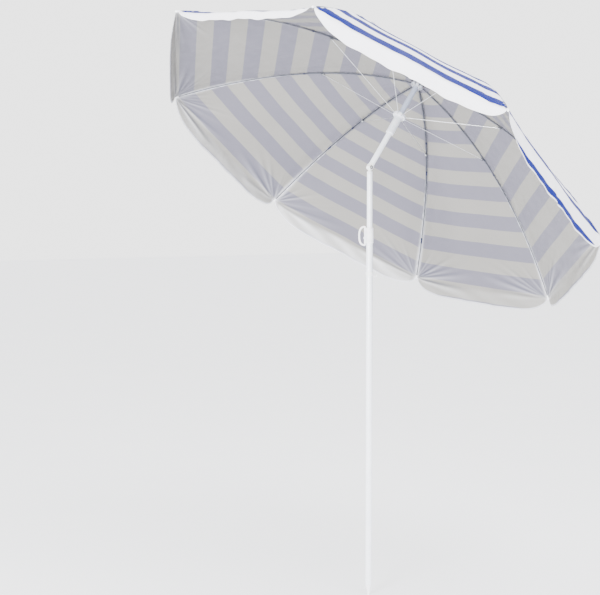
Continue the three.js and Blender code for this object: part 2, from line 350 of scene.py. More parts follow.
def aboutZ(angle):
    c, s = math.cos(angle), math.sin(angle)
    return np.array([[c, -s, 0], [s, c, 0], [0, 0, 1]])


def upTo(direction):
    # turns Z to a direction in the XZ plane
    return np.array([[direction[2], 0, direction[0]], [0, 1, 0], [-direction[0], 0, direction[2]]])


# ---- finishes ----
def enamelFinish(name, bright, dull, shadeTone=None):
    paint = Finish(name, coat=0.6, coatRough=0.12, specular=0.45)
    where = paint.place()
    streak = paint.noise(where * (60.0, 60.0, 3.0), 1.0, 4.0)
    dust = paint.noise(where, 14.0, 5.0)
    color = paint.blendColors(bright, dull, dust.ramp(0.45, 0.75))
    if shadeTone:
        # the stretch above the runner's rest is painted darker, as painted shade near the crown; heights are
        # the part's own
        height = paint.node("ShaderNodeSeparateXYZ", {"Vector": where}, "Z")
        color = paint.blendColors(color, shadeTone, height.ramp(1.59, 1.65))
    paint.set("color", color)
    paint.set("rough", streak.ramp(0.3, 0.7, 0.24, 0.34))
    return paint.set("normal", paint.bump(paint.noise(where, 900.0, 2.0), 0.00004, 0.5))


def plasticFinish(name, bright, dull, rough=0.38):
    paint = Finish(name, specular=0.5, subsurface=0.06, subsurfaceScale=0.004)
    where = paint.place()
    cloud = paint.noise(where, 35.0, 4.0)
    paint.set("color", paint.blendColors(bright, dull, cloud.ramp(0.35, 0.75)))
    paint.set("rough", paint.noise(where, 120.0, 3.0).ramp(0.3, 0.7, rough, rough + 0.12))
    return paint.set("normal", paint.bump(paint.noise(where, 1300.0, 2.0), 0.00003, 0.6))


def steelFinish(name, bright, dull, rough):
    paint = Finish(name, metal=1.0)
    where = paint.place()
    drawn = paint.noise(where * (300.0, 300.0, 300.0), 1.0, 4.0, 0.7)
    spots = paint.noise(where, 55.0, 6.0, 0.65)
    paint.set("color", paint.blendColors(bright, dull, spots.ramp(0.4, 0.72)))
    paint.set("rough", drawn.ramp(0.25, 0.75, rough, rough + 0.18))
    return paint.set("normal", paint.bump(drawn, 0.00003, 0.5))


cloth = dict(
    rows=240, columns=104, start=0.0215, end=0.986, thickness=0.0006, above=0.0036,
    band=0.0562, phase=0.010, binding=0.0055, thread=0.0011, stitch=0.0036,
    bulge=0.079, fall=0.66, curl=0.012, ribLength=0.905, flapLength=0.99, flapBend=0.006, hemGain=6.2,
)
# gores whose hem hangs longer or shorter than the rest, and those whose hanging hem gets a painted highlight
hemCut = {3: 0.55, 4: 0.92, 5: 1.25}
flapGlow = {0: 0.62, 1: 0.26, 7: 0.12}


def clothFinish(name, inside):
    # stripes by distance from the crown, a binding at the hem, sewn seams on the ribs with painted shade
    # beside them, and a plain weave; inside, also painted fold shade and painted highlights
    paint = Finish(name, sheen=0.03, sheenRough=0.4, specular=0.4 if inside else 0.12)
    along, across = paint.fact("along"), paint.fact("across")
    hem, seam = paint.fact("hem"), paint.fact("seam")
    where = paint.place()
    wobble = (paint.noise(where, 9.0, 2.0) - 0.5) * 0.0012
    wave = ((along + wobble + cloth["phase"]) * (math.pi / cloth["band"])).sine()
    white = wave.ramp(0.03, -0.03)
    bound = cloth["binding"]
    binding = hem.ramp(bound + 0.0004, bound - 0.0004)
    cloud = paint.noise(where, 4.5, 3.0)
    # the inside tones are kept low: partly the coated cloth's own colour, partly painted shade under the
    # canopy
    if inside:
        blueBand = paint.blendColors(srgb(104, 102, 115), srgb(98, 97, 110), cloud)
        whiteBand = paint.blendColors(srgb(135, 133, 128), srgb(127, 125, 121), cloud)
        edge, threads = srgb(190, 191, 198), srgb(120, 124, 140)
    else:
        blueBand = paint.blendColors(srgb(0, 20, 112), srgb(0, 15, 98), cloud)
        whiteBand = paint.blendColors(srgb(238, 238, 243), srgb(229, 229, 238), cloud)
        edge, threads = srgb(240, 240, 246), srgb(30, 40, 80)
    color = paint.blendColors(paint.blendColors(blueBand, whiteBand, white), edge, binding)
    # fine light and dark crossings of the threads
    pitch = 2 * math.pi / cloth["thread"]
    weave = (across * pitch).sine() * (along * pitch).sine()
    color = paint.blendColors(color, threads, weave.ramp(-1.0, 1.0, 0.0, 0.05))
    sewing = 2 * math.pi / cloth["stitch"]
    stitch = seam.ramp(0.0042, 0.0036) * seam.ramp(0.0028, 0.0034)
    dash = (along * sewing).sine().ramp(-0.1, 0.3)
    # painted shade: a dark band in the cloth along each rib seam, where shade falls beside the wire and tapes
    color = paint.blendColors(color, srgb(50, 53, 68), seam.ramp(0.006, 0.001) * 0.6)
    if inside:
        # painted highlights beside the seams, on the fold ridges and on the lighter hanging hems, from the
        # shine fact
        color = paint.blendColors(color, srgb(240, 241, 246), paint.fact("shine") * 0.75)
        # painted shade in the fold valleys, from the shade fact
        color = paint.blendColors(color, srgb(44, 48, 70), paint.fact("shade") * 0.9)
    color = paint.blendColors(color, srgb(250, 250, 252), stitch * dash * (0.8 if inside else 0.3))
    hemStitch = hem.ramp(bound - 0.0006, bound - 0.0011) * hem.ramp(bound - 0.0026, bound - 0.0021)
    hemStitch = hemStitch * (across * sewing).sine().ramp(-0.1, 0.3)
    paint.set("color", paint.blendColors(color, srgb(196, 198, 208), hemStitch))
    low, high = (0.34, 0.5) if inside else (0.62, 0.78)
    paint.set("rough", paint.noise(where, 26.0, 4.0).ramp(0.3, 0.7, low, high))
    crumple = paint.noise(where, 42.0, 5.0, 0.6) + paint.noise(where, 150.0, 3.0) * 0.35
    coarse = paint.bump(crumple, 0.0011 if inside else 0.0008, 0.55)
    fine = paint.node("ShaderNodeBump", {"Height": weave + stitch * dash * 2.0, "Distance": 0.00006,
                                         "Strength": 0.6, "Normal": coarse}, vector=True)
    return paint.set("normal", fine)


def tapeFinish(name, bright, dull, inner=None):
    # inner is the colour toward the crown: the tape is painted darker there as painted shade, and near white
    # toward the tip as a painted highlight
    paint = Finish(name, rough=0.7, sheen=0.2, specular=0.3)
    where = paint.place()
    color = paint.blendColors(bright, dull, paint.noise(where, 60.0, 4.0))
    if inner:
        color = paint.blendColors(inner, color, paint.fact("outward").ramp(0.45, 0.85))
    paint.set("color", color)
    return paint.set("normal", paint.bump(paint.noise(where, 700.0, 3.0), 0.0002, 0.6))


enamelTones = srgb(236, 240, 247), srgb(226, 231, 240)
enamel = enamelFinish("white_enamel", *enamelTones)
# the upper pole's enamel, with painted shade on the stretch above the runner
upperEnamel = enamelFinish("upper_enamel", *enamelTones, srgb(166, 174, 194))
whitePlastic = plasticFinish("white_plastic", srgb(244, 245, 247), srgb(232, 233, 237))
ivoryPlastic = plasticFinish("ivory_plastic", srgb(218, 221, 228), srgb(202, 207, 217), 0.42)
# the crown notch is the pale plastic painted darker, as painted shade near the crown
shadedNotchPlastic = plasticFinish("notch_plastic_shaded", srgb(166, 169, 178), srgb(150, 154, 164), 0.45)
darkPlastic = plasticFinish("dark_plastic", srgb(26, 28, 34), srgb(18, 20, 25), 0.5)
greySteel = steelFinish("grey_steel", srgb(86, 89, 98), srgb(60, 63, 72), 0.4)
brightSteel = steelFinish("bright_steel", srgb(236, 238, 242), srgb(208, 211, 217), 0.25)
clothOutside, clothInside = clothFinish("cloth_outside", False), clothFinish("cloth_inside", True)
bracketSteel = steelFinish("bracket_steel", srgb(150, 153, 160), srgb(112, 115, 123), 0.34)
# the seam tapes' near white tone is partly their own colour and partly a painted highlight
seamTape = tapeFinish("seam_tape", srgb(214, 216, 224), srgb(176, 179, 190), srgb(104, 106, 118))
blueTie = tapeFinish("blue_tie", srgb(22, 28, 66), srgb(14, 18, 48))
print("stage: finishes made")


def keep(piece, body, slot, *nodes):
    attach(piece, body)
    if nodes:
        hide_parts(*nodes)


# ---- poles ----
foot = dict(height=0.035, flat=0.0032, nib=0.0042, shoulder=0.0102, outer=0.011, spigot=0.0097, top=0.062)
footOutline = soften([
    [0, 0], [foot["flat"], 0], [foot["nib"], 0.0018], [foot["nib"], 0.011], [foot["shoulder"], 0.031],
    [foot["outer"], foot["height"]], [foot["spigot"], foot["height"]], [foot["spigot"], foot["top"]],
    [0, foot["top"]]], 0.0012)
keep(makePiece("ground_spike", [revolve(footOutline)], [whitePlastic]),
     "base", "white_plastic", "ground_point")

# each pole's inner and outer radius, then where it starts and ends
poles = dict(lower=(0.010, 0.011, 0.0354, 1.226), middle=(0.0085, 0.0095, 0.960, 1.430),
             upper=(0.0085, 0.0095, 0.0144, 0.341))
keep(makePiece("lower_tube", [tubeWall(*poles["lower"])], [enamel]), "base", "white_enamel", "lower_pole")
keep(makePiece("middle_tube", [tubeWall(*poles["middle"])], [enamel]),
     "middle", "white_enamel", "middle_pole")
keep(makePiece("upper_tube", [tubeWall(*poles["upper"])], [upperEnamel], headToWorld),
     "head", "white_enamel", "upper_pole")

collar = dict(low=1.198, high=1.250, outer=0.013, socket=0.01135, bore=0.00985, step=1.2264, rib=0.0127)
collarOutline = soften([
    [collar["socket"], collar["low"]], [0.0124, collar["low"]], [collar["outer"], 1.2],
    [collar["outer"], 1.2262], [collar["rib"], 1.2275], [collar["rib"], 1.2468], [0.0116, collar["high"]],
    [collar["bore"], collar["high"]], [collar["bore"], collar["step"]],
    [collar["socket"], collar["step"]]], 0.0007, 4, True)
keep(makePiece("collar_sleeve", [revolve(collarOutline)], [whitePlastic]),
     "base", "white_plastic", "telescope_collar")

# ---- height lock and strap hook ----
# the finger loop: a rounded bar carried round a D, its straight back against the collar
clip = dict(azimuth=math.radians(143.2), near=0.0155, far=0.0349, half=0.0309, middle=1.222, pin=1.215)
s = np.linspace(0, 1, 40)[:, None]
corners = np.array([[clip["near"], -clip["half"]], [clip["far"] - 0.006, -clip["half"]],
                    [clip["far"], -clip["half"] * 0.7], [clip["far"], 0]])
curve = ((1 - s) ** 3 * corners[0] + 3 * s * (1 - s) ** 2 * corners[1]
         + 3 * s ** 2 * (1 - s) * corners[2] + s ** 3 * corners[3])
back = np.stack([np.full(30, clip["near"]), np.linspace(clip["half"], -clip["half"], 32)[1:-1]], -1)
outline = np.vstack([curve, (curve * [1, -1])[-2::-1], back])
for repeat in range(3):
    outline = (np.roll(outline, 1, 0) + 2 * outline + np.roll(outline, -1, 0)) / 4
loopPath = np.stack([outline[:, 0], 0 * outline[:, 0], outline[:, 1] + clip["middle"]], -1)
clipTurn = aboutZ(clip["azimuth"])
clipBar = carried(loopPath, roundBar(0.0034, 0.0029, 0.0014), [0, 1, 0], True)
lockOutline = soften([[0.0134, -0.014], [0.0176, -0.012], [0.0176, 0.006], [0.0134, 0.008]], 0.002, 4, True)
lockPlate = shifted(plate(lockOutline, -0.0033, 0.0033, 0.0007), move=(0, 0, clip["middle"]))
keep(makePiece("finger_loop", [shifted(clipBar, clipTurn), shifted(lockPlate, clipTurn)], [whitePlastic]),
     "clip", "white_plastic", "lock_clip")
pin = dict(radius=0.0022, tip=0.00995, headRadius=0.0042, head=0.0182, end=0.0208)
pinOutline = soften([[0, pin["tip"]], [pin["radius"], pin["tip"]], [pin["radius"], pin["head"]],
                     [pin["headRadius"], pin["head"]], [pin["headRadius"], 0.0205], [0, pin["end"]]], 0.0005)
pinShell = shifted(revolve(pinOutline, 32), zToX, (0, 0, clip["pin"]))
keep(makePiece("draw_pin", [shifted(pinShell, clipTurn)], [brightSteel]), "clip", "bright_steel", "lock_pin")

hook = dict(azimuth=math.radians(-36.8), middle=1.092, wire=0.0012, reach=0.0186, wide=0.0062, tall=0.0075)
arc = np.radians(np.linspace(150, 350, 48))
hookPath = np.stack([hook["reach"] + hook["wide"] * np.cos(arc), 0 * arc,
                     hook["middle"] + hook["tall"] * np.sin(arc)], -1)
keep(makePiece("strap_hook", [
    tubeWall(0.01135, 0.0127, 1.089, 1.102, 0.0005, steps=4),
    shifted(rod(hookPath, hook["wire"], [0, 1, 0]), aboutZ(hook["azimuth"]))], [whitePlastic]),
    "base", "white_plastic", "carry_hook")
print("stage: poles made")

# ---- tilt joint, drawn about the hinge ----
hinge = dict(tube=0.0081, rim=0.0095, tongue=0.0035, cheekIn=0.0039, cheekOut=0.0081, cheek=0.0088)
stemOutline = soften([
    [0, -0.056], [hinge["tube"], -0.056], [hinge["tube"], -0.0206], [hinge["rim"], -0.0206],
    [hinge["rim"], -0.0172], [0.008, -0.013], [0.0045, -0.0112], [0, -0.011]], 0.0012)
neckOutline = soften([
    [-0.0046, -0.015], [0.0046, -0.015], [0.0046, 0.001], [-0.0046, 0.001]], 0.0006, 3, True)
tongueShells = [
    revolve(stemOutline),
    plate(neckOutline, -hinge["tongue"], hinge["tongue"], 0.0005),
    plate(circle(0.0076, 48), -hinge["tongue"], hinge["tongue"], 0.0006)]
keep(makePiece("tilt_knuckle", tongueShells, [whitePlastic], lambda p: p + np.array([0, 0, layout["pivot"]])),
     "middle", "white_plastic", "tilt_tongue")
angles = np.radians(np.linspace(180, 360, 40))
cheekCurve = np.stack([hinge["cheek"] * np.cos(angles), hinge["cheek"] * np.sin(angles)], -1)
cheek = np.vstack([cheekCurve, [[hinge["cheek"], 0.0092], [-hinge["cheek"], 0.0092]]])
socketOutline = soften([
    [0, 0.009], [hinge["rim"], 0.009], [hinge["rim"], 0.014], [hinge["tube"], 0.0141], [hinge["tube"], 0.04],
    [0, 0.04]], 0.0008)
forkShells = [
    revolve(socketOutline),
    plate(cheek, hinge["cheekIn"], hinge["cheekOut"], 0.0008),
    plate(cheek, -hinge["cheekOut"], -hinge["cheekIn"], 0.0008)]
keep(makePiece("tilt_yoke", forkShells, [whitePlastic], headToWorld), "head", "white_plastic", "tilt_fork")
pivotOutline = soften([
    [0, -0.007], [0.0022, -0.007], [0.0022, 0.0085], [0.0044, 0.0085], [0.0038, 0.01], [0, 0.0102]], 0.0006)
keep(makePiece("pivot_rivet", [shifted(revolve(pivotOutline, 40), zToY)], [brightSteel], headToWorld),
     "head", "bright_steel", "tilt_pivot_pin")
# the button starts clear of the cheek by a little more than its stroke
buttonOutline = soften([
    [0, 0.0096], [0.0031, 0.0096], [0.0031, 0.0112], [0.0022, 0.012], [0, 0.0123]], 0.0005)
toMinusY = np.array(zToY) * [[1, 1, 1], [-1, -1, -1], [-1, -1, -1]]
keep(makePiece("push_button", [shifted(revolve(buttonOutline, 40), toMinusY)], [brightSteel], headToWorld),
     "button", "bright_steel", "tilt_button")
ringWall = tubeWall(0.0036, 0.0058, 0.0085, 0.0102, 0.0006, 48)
keep(makePiece("button_ring", [shifted(ringWall, toMinusY)], [darkPlastic], headToWorld),
     "head", "dark_plastic", "tilt_button_ring")


# ---- runner and crown ----
def slotted(outline, width, floor, reach):
    # columns just inside and outside each slot edge, so that the slot walls stand straight
    half = math.asin(width / 2 / reach)
    offsets = [-half - 0.012, -half, -half + 1e-4, 0, half - 1e-4, half, half + 0.012]
    between = np.linspace(half + 0.03, 2 * math.pi / layout["ribs"] - half - 0.03, 9)
    angles = np.concatenate([a + np.concatenate([offsets, between]) for a in ribAngles])
    cut = np.concatenate([np.array([0, 0, 1, 1, 1, 0, 0] + [0] * 9, bool) for a in ribAngles])
    order = np.argsort(angles)
    return revolve(outline, radiusAt=dict(angles=angles[order], cut=cut[order], floor=floor))


runnerZ = layout["crown"] - layout["runnerDrop"]
# slot width, the radius of its floor, and the radius at which the width is measured
runnerSlots, notchSlots = (0.0044, 0.0162, 0.0200), (0.0044, 0.0142, 0.0185)
runnerOutline = soften([
    [0.0099, -0.075], [0.0128, -0.075], [0.0135, -0.073], [0.0135, -0.010], [0.0155, -0.0054],
    [0.0225, -0.0046], [0.0225, 0.005], [0.014, 0.006], [0.0125, 0.009], [0.0099, 0.009]], 0.0009, 4, True)
keep(makePiece("sliding_runner", [slotted(runnerOutline + [0, runnerZ], *runnerSlots)], [ivoryPlastic],
               headToWorld, smooth=0.55), "runner", "ivory_plastic", "runner")
notchOutline = soften([
    [0, -0.034], [0.0081, -0.034], [0.0081, -0.0136], [0.0125, -0.0136], [0.022, -0.008], [0.022, -0.0005],
    [0.0195, 0.0016], [0, 0.0016]], 0.0009)
keep(makePiece("top_notch", [slotted(notchOutline + [0, layout["crown"]], *notchSlots)], [shadedNotchPlastic],
               headToWorld, smooth=0.55), "head", "ivory_plastic", "crown_notch")
ringWire = 0.0008
for name, body, radius, height, node in (
        ("runner_ring_wire", "runner", layout["runnerHinge"], runnerZ, "runner_wire"),
        ("notch_ring_wire", "head", layout["hinge"], layout["crown"], "notch_wire")):
    ring = shifted(hoop(radius, ringWire), move=(0, 0, height))
    keep(makePiece(name, [ring], [brightSteel], headToWorld), body, "bright_steel", node)
capOutline = soften([
    [0, -0.010], [0.0031, -0.010], [0.0031, 0.0050], [0.0245, 0.0046], [0.025, 0.0056], [0.0235, 0.0074],
    [0.009, 0.0096], [0.0054, 0.013], [0.0052, 0.016], [0.0068, 0.020], [0.0055, 0.0245],
    [0, 0.0258]], 0.0022, 6)
keep(makePiece("finial_cap", [revolve(capOutline + [0, layout["crown"]], 72)], [whitePlastic], headToWorld),
     "head", "white_plastic", "crown_cap")
print("stage: fittings made")


# ---- ribs and stretchers ----
def ribPoint(t):
    # radius grows evenly with t; depth below the crown is a straight share plus a squared share
    t = np.asarray(t, float)
    depth = layout["rimDepth"] * ((1 - layout["bend"]) * t + layout["bend"] * t * t)
    return np.stack([layout["rimRadius"] * t, 0 * t, layout["crown"] - depth], -1)


def ribNormal(t):
    # square to the rib curve in its own plane, on the cloth's side
    slope = layout["rimDepth"] * (1 - layout["bend"] + 2 * layout["bend"] * np.asarray(t, float))
    normal = np.stack([slope, 0 * slope, layout["rimRadius"] + 0 * slope], -1)
    return normal / np.linalg.norm(normal, axis=-1, keepdims=True)


def eyelet(at, inner, outer, width):
    return shifted(tubeWall(inner, outer, -width / 2, width / 2, 0.0003, 28), zToY, at)


ribHinge = np.array([layout["hinge"], 0, layout["crown"]])
wires = dict(rib=0.0013, stretcher=0.0009, hole=0.0012, pinHole=0.00135, eye=0.0023, eyeWide=0.003)
jointSpot, jointUp = ribPoint(layout["jointAt"]), ribNormal(layout["jointAt"])
stretcherPin = jointSpot - jointUp * layout["jointDrop"]
runnerHinge = np.array([layout["runnerHinge"], 0, runnerZ])
stretcherLength = np.linalg.norm(runnerHinge - stretcherPin)
toRunner = (runnerHinge - stretcherPin) / stretcherLength
bracketSize = dict(inner=0.00215, outer=0.0034, edge=0.0002)
cheekOutline = soften([
    [-0.005, -0.0064], [-0.002, -0.008], [0.0035, -0.008], [0.006, -0.0058], [0.006, 0.0012],
    [-0.005, 0.0012]], 0.0015, 4, True)
bridgeOutline = [[0.004, -0.0046], [0.006, -0.0046], [0.006, -0.0033], [0.004, -0.0033]]
rivetOutline = soften([
    [0, -0.0041], [0.0016, -0.0041], [0.0016, -0.0034], [0.001, -0.0034], [0.001, 0.0034], [0.0016, 0.0034],
    [0.0016, 0.0041], [0, 0.0041]], 0.0002)
bracket = [
    plate(cheekOutline, bracketSize["inner"], bracketSize["outer"], bracketSize["edge"]),
    plate(cheekOutline, -bracketSize["outer"], -bracketSize["inner"], bracketSize["edge"]),
    plate(bridgeOutline, -0.003, 0.003, bracketSize["edge"]),
    shifted(revolve(rivetOutline, 24), zToY, (0, 0, -layout["jointDrop"]))]
tipOutline = soften([
    [0, 0.001], [0.00225, 0.001], [0.00225, -0.011], [0.0029, -0.0112], [0.0032, -0.0102], [0.0032, 0.001],
    [0.0038, 0.0034], [0.0024, 0.0064], [0, 0.007]], 0.0012)
# each rib's four pieces, drawn in the XZ plane: piece name, shells, finish, body, slot, CAD node
ribPath = ribPoint(np.linspace(0.0246, 0.998, 90))
strutPath = stretcherPin + toRunner * np.linspace(0.0018, stretcherLength - 0.0016, 24)[:, None]
ribPieces = [
    ("rib_wire", [eyelet(ribHinge, wires["hole"], wires["eye"], wires["eyeWide"]),
                  rod(ribPath, wires["rib"], [0, 1, 0])], greySteel, "rib_arm", "grey_steel", "rib"),
    ("rib_bracket", [shifted(x, upTo(jointUp), jointSpot) for x in bracket],
     bracketSteel, "rib_arm", "bright_steel", "rib_joint"),
    ("rib_end", [shifted(shifted(revolve(tipOutline, 32), zToX), upTo(ribNormal(1.0)), ribPoint(1.0))],
     whitePlastic, "rib_arm", "white_plastic", "rib_tip"),
    ("stretcher_wire", [eyelet(stretcherPin, wires["pinHole"], wires["eye"], wires["eyeWide"]),
                        rod(strutPath, wires["stretcher"], [0, 1, 0])],
     brightSteel, "strut", "bright_steel", "stretcher")]
for k, angle in enumerate(ribAngles):
    for name, shells, finish, body, slot, node in ribPieces:
        turned = [shifted(x, aboutZ(angle)) for x in shells]
        keep(makePiece(f"{name}_{k + 1}", turned, [finish], headToWorld),
             f"{body}_{k + 1}", slot, f"{node}_{k + 1}")
print("stage: ribs and stretchers made")


# ---- canopy ----
def acrossStops(count):
    # shares of the way from one rib to the next, closer together beside the ribs
    even = np.linspace(0, 1, count + 1)[:-1]
    return 0.35 * even + 0.65 * (1 - np.cos(math.pi * even)) / 2


def centreLength(t):
    # distance from the crown down the middle of a gore, by adding up short straight steps
    fine = np.linspace(0, 1.1, 2200)
    middle = ribPoint(fine) * [math.cos(math.pi / layout["ribs"]), 1, 1]
    steps = np.linalg.norm(np.diff(middle, axis=0), axis=1)
    return np.interp(t, fine, np.concatenate([[0], np.cumsum(steps)]))


# folds fan out from each rib tip: where they lean, how far they run, how deep and how wide they are
folds = dict(count=8, lean=0.10, leanStep=0.215, long=0.036, longStep=0.0036, wide=0.0021, widen=0.034,
             start=0.014, deepest=0.0030)
waves = dict(pull=0.0019, pullEvery=0.0095, pucker=0.0010, puckerEvery=0.021, hem=0.0019, hemReach=0.03)


def bell(x):
    return np.exp(-x ** 2)


def canopyGrid():
    rng = np.random.default_rng(7)
    rows, columns, ribs = cloth["rows"], cloth["columns"], layout["ribs"]
    even = np.linspace(0, 1, rows)
    t = cloth["start"] + (cloth["end"] - cloth["start"]) * (0.5 * even + 0.5 * np.sin(even * math.pi / 2))
    w = np.tile(acrossStops(columns), ribs)
    gore = np.repeat(np.arange(ribs), columns)
    t, w, gore = t[:, None] + 0 * w[None], w[None] + 0 * t[:, None], gore[None] + 0 * t[:, None].astype(int)
    between = 4 * w * (1 - w)
    full = np.sqrt(1 - np.abs(2 * w - 1) ** 5)
    bulge = np.array([hemCut.get(k, 1.0) for k in range(ribs)])[gore] * cloth["bulge"]
    reach = t * (1 + bulge * full * t ** 6)
    within = np.minimum(reach, 1.0)
    # on the chord between two ribs: the rib curve turned to each rib, mixed by the share across
    up = ribNormal(within)
    curve = ribPoint(within) + up * (cloth["above"] + cloth["thickness"] / 2)
    step = 2 * math.pi / ribs
    first = layout["firstRib"] + gore * step

    def turned(vector, angle):
        return np.stack([vector[..., 0] * np.cos(angle), vector[..., 0] * np.sin(angle), vector[..., 2]], -1)

    def across(vector):
        return turned(vector, first) * (1 - w[..., None]) + turned(vector, first + step) * w[..., None]

    surface, normal = across(curve), across(up)
    down = across(np.stack([up[..., 2], 0 * w, -up[..., 0]], -1))
    normal /= np.linalg.norm(normal, axis=-1, keepdims=True)
    down /= np.linalg.norm(down, axis=-1, keepdims=True)
    # past the line between two tips the cloth creases, and its own weight turns the flap to the ground
    flap = np.maximum(reach - 1.0, 0) * cloth["flapLength"]
    hang = cloth["fall"] * (1 - np.exp(-flap / cloth["flapBend"]))[..., None]
    ground = np.array([math.sin(layout["tilt"]), 0, -math.cos(layout["tilt"])])
    way = down * (1 - hang) + ground * hang
    surface += flap[..., None] * way / np.linalg.norm(way, axis=-1, keepdims=True)

    width = 2 * layout["rimRadius"] * t * math.sin(math.pi / ribs)
    fromRib = np.minimum(w, 1 - w) * width
    near = np.where(w < 0.5, gore, gore + 1) % ribs
    side = np.where(w < 0.5, 1.0, -1.0)
    fromTip = (1.0 - t) * cloth["ribLength"]
    along = centreLength(reach)
    lift = np.zeros_like(t)
    # slack between the ribs, most at two thirds of the way out
    slack = rng.uniform(0.004, 0.009, ribs)[gore]
    lift -= slack * between * np.sin(np.clip(t, 0, 1) ** 1.4 * math.pi * 0.86)
    # the last stretch before the hem curls in
    lift -= cloth["curl"] * full * np.clip((t - 0.78) / 0.2, 0, 1) ** 2
    # long soft swells, different in each gore
    for order in range(4):
        phase, tall = rng.uniform(0, 2 * math.pi, ribs)[gore], rng.uniform(0.4, 1.0, ribs)[gore]
        swell = np.sin((2 + order) * math.pi * w + phase) * np.sin((3 + 2 * order) * t + phase)
        lift += 0.0016 * tall * between * swell * t
    # each fold is a valley beside a ridge, widening and fading with distance from the tip; shade is painted
    # shade in the valleys and gleam a painted highlight on the ridges
    inward = (1.0 - reach) * cloth["ribLength"]
    away, spread = np.hypot(fromRib, inward), np.arctan2(fromRib, inward)
    hand = (side < 0).astype(int)
    phase = rng.uniform(0, 2 * math.pi, (2, ribs))[hand, near]
    shade, gleam = np.zeros_like(t), np.zeros_like(t)
    for fold in range(folds["count"]):
        lean = folds["lean"] + folds["leanStep"] * fold
        lean = (lean + rng.uniform(-0.06, 0.06, (2, ribs)))[hand, near]
        long = folds["long"] + folds["longStep"] * fold * fold
        long = (long + rng.uniform(-0.012, 0.022, (2, ribs)))[hand, near]
        deep = rng.uniform(0.0002, folds["deepest"], (2, ribs))[hand, near]
        off = np.where(np.abs(spread - lean) < 1.4, away * np.sin(spread - lean), 1.0)
        wide = folds["wide"] + folds["widen"] * away
        fade = away ** 2 / (away ** 2 + folds["start"] ** 2) * bell(away / long)
        fade *= 1 - (2 * np.minimum(w, 1 - w)) ** 4
        valley, ridge = bell(off / wide), bell((off - 1.8 * wide) / wide)
        lift += deep * fade * (0.7 * ridge - valley)
        shade += bell(off / (0.75 * wide)) * fade * deep / 0.0026
        gleam += ridge * fade * deep / 0.0065
    # pulls that run from the tip in along the seam
    pull = np.sin(fromRib / waves["pullEvery"] + 5 * np.sin(fromTip * 3 + phase) + phase)
    taper = np.exp(-fromRib / 0.045) * np.minimum(1, fromRib / 0.01) * (0.35 + 0.65 * t)
    lift += waves["pull"] * pull * taper
    # gathers against the sewn seam, and the groove of the seam itself
    pucker = np.sin(fromTip * 2 * math.pi / waves["puckerEvery"] + 2 * np.sin(fromTip * 37 + phase))
    lift += waves["pucker"] * pucker * np.exp(-fromRib / 0.012) * np.minimum(1, fromRib / 0.004)
    lift -= 0.0006 * bell(fromRib / 0.0022)
    # ripples along the free hem
    edge = np.exp(-(cloth["end"] - t) * 0.9 / waves["hemReach"])
    ripple = np.sin(w * 2 * math.pi * 4.5 + phase) + 0.6 * np.sin(w * 2 * math.pi * 9.3 + 2 * phase)
    lift += waves["hem"] * edge * between * ripple
    # painted highlights: a light line beside each seam toward its tip, and streaks on the lighter hanging hems
    shine = bell(fromRib / (0.003 + 0.007 * t ** 3)) * np.clip((t - 0.6) / 0.3, 0, 1)
    shine *= 1 - np.exp(-fromTip / 0.02) * 0.5
    glow = np.array([flapGlow.get(k, 0.0) for k in range(ribs)])[gore]
    streak = 0.75 + 0.25 * np.sin(w * 23 + t * 160 + phase)
    shine += glow * streak * np.clip(flap / 0.012, 0, 1) * np.clip(fromRib / 0.03, 0, 1)
    surface = surface + lift[..., None] * normal
    # normals square to the grid's own two directions, joined up all the way round
    rowWay = np.gradient(surface, axis=0)
    columnWay = np.roll(surface, -1, 1) - np.roll(surface, 1, 1)
    normal = np.cross(rowWay, columnWay)
    normal /= np.linalg.norm(normal, axis=-1, keepdims=True)
    hem = (cloth["end"] - t) * (cloth["ribLength"] + cloth["hemGain"] * bulge * full)
    return dict(surface=surface, normal=normal, along=along, across=(w - 0.5) * width, hem=hem,
                seam=fromRib, shade=np.clip(shade, 0, 1), shine=np.clip(shine + gleam, 0, 1))


def thinSheet(surface, normal, thickness):
    # the grid moved half the thickness each way, with its four edges closed between the two layers
    rows, columns = surface.shape[:2]
    layers = [surface + normal * thickness / 2, surface - normal * thickness / 2]
    points = np.vstack([x.reshape(-1, 3) for x in layers])
    top = gridFaces(rows, columns)
    count = rows * columns
    index = np.arange(count).reshape(rows, columns)
    border = np.concatenate([index[0, :-1], index[:-1, -1], index[-1, :0:-1], index[:0:-1, 0]])
    after = np.roll(border, -1)
    rim = np.stack([after, border, border + count, after + count], -1)
    return points, np.vstack([top, top[:, ::-1] + count, rim]), (len(top), len(top), len(rim))


grid = canopyGrid()
clothFacts = ("along", "across", "hem", "seam", "shade", "shine")
total = cloth["columns"] * layout["ribs"]
# the strip that each sheet lends its neighbour
lap = dict(rows=int(0.7 * cloth["rows"]), columns=12, width=0.008, thickness=0.0002)


def underlap(start):
    # a strip that runs on past mid-gore inside the next panel, so that no slit opens when the ribs fold
    columns = (start + np.arange(lap["columns"])) % total
    near = {key: value[:lap["rows"], columns] for key, value in grid.items()}
    apart = np.cumsum(np.linalg.norm(np.diff(near["surface"], axis=1), axis=-1), axis=1)
    apart = np.hstack([np.zeros((lap["rows"], 1)), apart])
    stops = np.minimum(lap["width"], 0.95 * apart[:, -1:]) * [0, 0.34, 0.67, 1]

    def sampled(values):
        return np.array([np.interp(*row) for row in zip(stops, apart, values)])

    strip = {key: sampled(near[key]) for key in clothFacts}
    for key in ("surface", "normal"):
        strip[key] = np.stack([sampled(near[key][..., i]) for i in range(3)], -1)
    return strip


def layered(part, thickness, first=0):
    # the sheet's points, faces, finish numbers, normals and facts; first is its first point's number
    points, quads, counts = thinSheet(part["surface"], part["normal"], thickness)
    normals = np.vstack([part["normal"].reshape(-1, 3), -part["normal"].reshape(-1, 3)])
    facts = np.array([np.tile(part[key].reshape(-1), 2) for key in clothFacts])
    outer, inner = (0, 1) if part["normal"][..., 2].mean() > 0 else (1, 0)
    return points, quads + first, np.repeat([outer, inner, 0], counts), normals, facts


